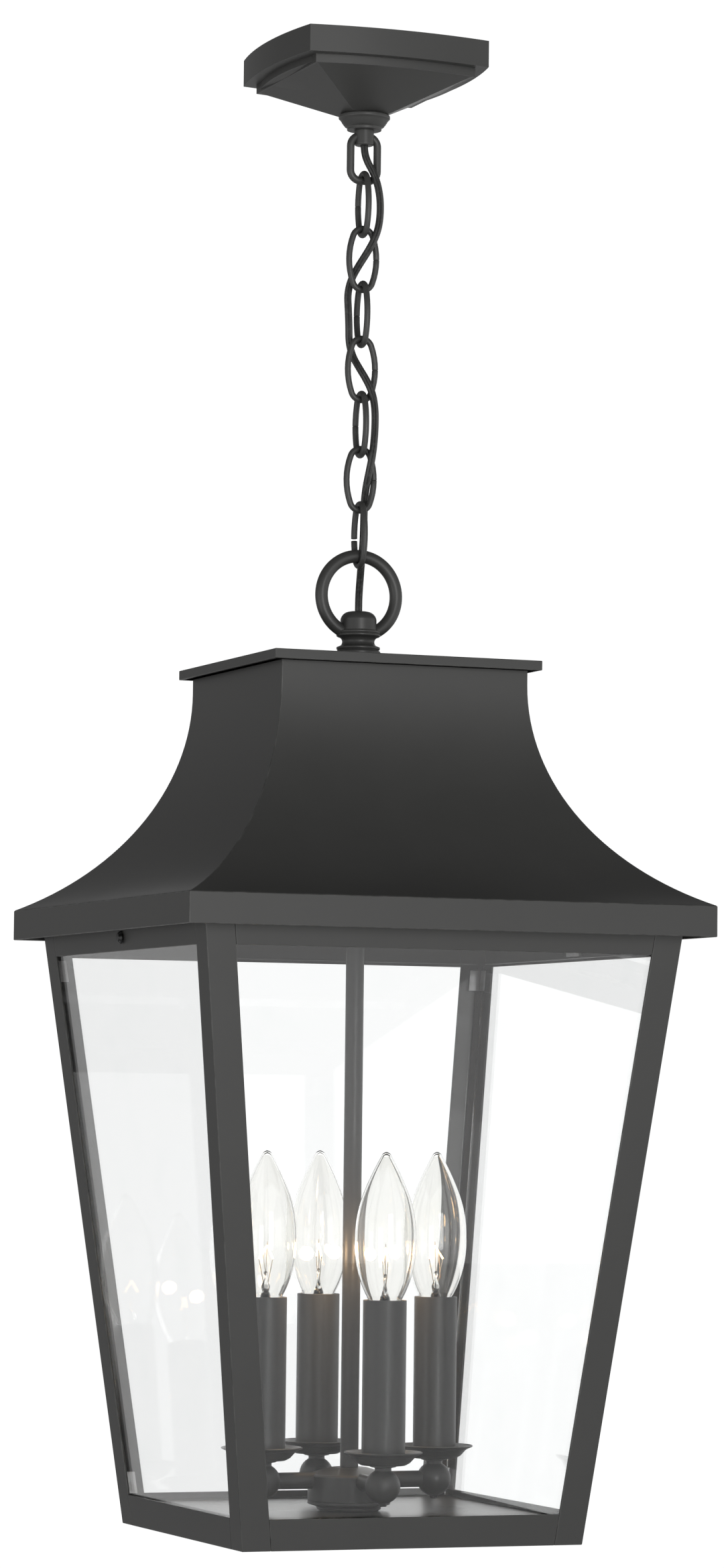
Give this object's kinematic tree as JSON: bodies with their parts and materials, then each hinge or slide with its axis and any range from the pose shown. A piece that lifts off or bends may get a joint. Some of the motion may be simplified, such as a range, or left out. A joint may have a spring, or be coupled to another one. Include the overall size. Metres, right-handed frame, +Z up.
{
  "type": "hanging lantern",
  "caption": "Hanging glass lantern with a swept square roof and candle lamps, on a chain with a hanging ring below a square ceiling canopy.",
  "frame": {"origin": "middle of the ceiling plane, between the two mounting slots of the strap", "axes": "+Z up out of the ceiling, the chain and lantern hang along -Z; -Y is the front face, +X its right; the strap's slots lie along X"},
  "size_m": [0.3048, 0.3048, 0.8356],
  "materials": {
    "dark_paint": "satin charcoal powder coat",
    "cord_jacket": "soft dark grey jacket",
    "zinc_steel": "zinc plated",
    "green_screw": "green dyed steel",
    "pane_glass": "clear polished",
    "bulb_glass": "clear blown glass",
    "brass_base": "rolled brass",
    "socket_plastic": "dark phenolic"
  },
  "bodies": {
    "ceiling": {"canopy": "dark_paint", "mounting_strap": "zinc_steel", "ceiling_pipe": "zinc_steel", "strap_nut": "zinc_steel", "ground_screw": "green_screw", "screw_collar": "dark_paint", "canopy_loop": "dark_paint", "cord_span_0": "cord_jacket"},
    "link_1": {"chain_link_1": "dark_paint", "cord_span_1": "cord_jacket"},
    "link_2": {"chain_link_2": "dark_paint", "cord_span_2": "cord_jacket"},
    "link_3": {"chain_link_3": "dark_paint", "cord_span_3": "cord_jacket"},
    "link_4": {"chain_link_4": "dark_paint", "cord_span_4": "cord_jacket"},
    "link_5": {"chain_link_5": "dark_paint", "cord_span_5": "cord_jacket"},
    "link_6": {"chain_link_6": "dark_paint", "cord_span_6": "cord_jacket"},
    "link_7": {"chain_link_7": "dark_paint", "cord_span_7": "cord_jacket"},
    "lantern": {"top_ring": "dark_paint", "ring_neck": "dark_paint", "cap_plate": "dark_paint", "roof_shell": "dark_paint", "base_plate": "dark_paint", "stem_tube": "dark_paint", "cluster_hub": "dark_paint", "hub_cap": "dark_paint", "cluster_arms": "dark_paint", "candle_balls": "dark_paint", "drip_pans": "dark_paint", "candle_sleeves": "dark_paint", "crossbar_screws": "dark_paint", "post_front_left": "dark_paint", "post_front_right": "dark_paint", "post_back_right": "dark_paint", "post_back_left": "dark_paint", "base_rail_front": "dark_paint", "base_rail_right": "dark_paint", "base_rail_back": "dark_paint", "base_rail_left": "dark_paint", "top_rail_front": "dark_paint", "top_rail_right": "dark_paint", "top_rail_back": "dark_paint", "top_rail_left": "dark_paint", "crossbar": "zinc_steel", "stem_nuts": "zinc_steel", "glass_clips": "zinc_steel", "glass_front": "pane_glass", "glass_right": "pane_glass", "glass_back": "pane_glass", "glass_left": "pane_glass", "bulbs": "bulb_glass", "lamp_bases": "brass_base", "lamp_sockets": "socket_plastic", "cord_span_8": "cord_jacket"}
  },
  "joints": [
    {"name": "sway_1", "type": "hinge", "parent": "ceiling", "child": "link_1", "pos_m": [0, 0, -0.0747], "axis": [1, 0, 0], "range_deg": [-15, 15], "deforming": ["cord_span_0", "cord_span_1"]},
    {"name": "sway_2", "type": "hinge", "parent": "link_1", "child": "link_2", "pos_m": [0, 0, -0.10565], "axis": [0, 1, 0], "range_deg": [-15, 15], "deforming": ["cord_span_1", "cord_span_2"]},
    {"name": "sway_3", "type": "hinge", "parent": "link_2", "child": "link_3", "pos_m": [0, 0, -0.13705], "axis": [1, 0, 0], "range_deg": [-15, 15], "deforming": ["cord_span_2", "cord_span_3"]},
    {"name": "sway_4", "type": "hinge", "parent": "link_3", "child": "link_4", "pos_m": [0, 0, -0.16845], "axis": [0, 1, 0], "range_deg": [-15, 15], "deforming": ["cord_span_3", "cord_span_4"]},
    {"name": "sway_5", "type": "hinge", "parent": "link_4", "child": "link_5", "pos_m": [0, 0, -0.19985], "axis": [1, 0, 0], "range_deg": [-15, 15], "deforming": ["cord_span_4", "cord_span_5"]},
    {"name": "sway_6", "type": "hinge", "parent": "link_5", "child": "link_6", "pos_m": [0, 0, -0.23125], "axis": [0, 1, 0], "range_deg": [-15, 15], "deforming": ["cord_span_5", "cord_span_6"]},
    {"name": "sway_7", "type": "hinge", "parent": "link_6", "child": "link_7", "pos_m": [0, 0, -0.26265], "axis": [1, 0, 0], "range_deg": [-15, 15], "deforming": ["cord_span_6", "cord_span_7"]},
    {"name": "sway_lantern", "type": "hinge", "parent": "link_7", "child": "lantern", "pos_m": [0, 0, -0.29405], "axis": [0, 1, 0], "range_deg": [-20, 20], "deforming": ["cord_span_7", "cord_span_8"]}
  ]
}
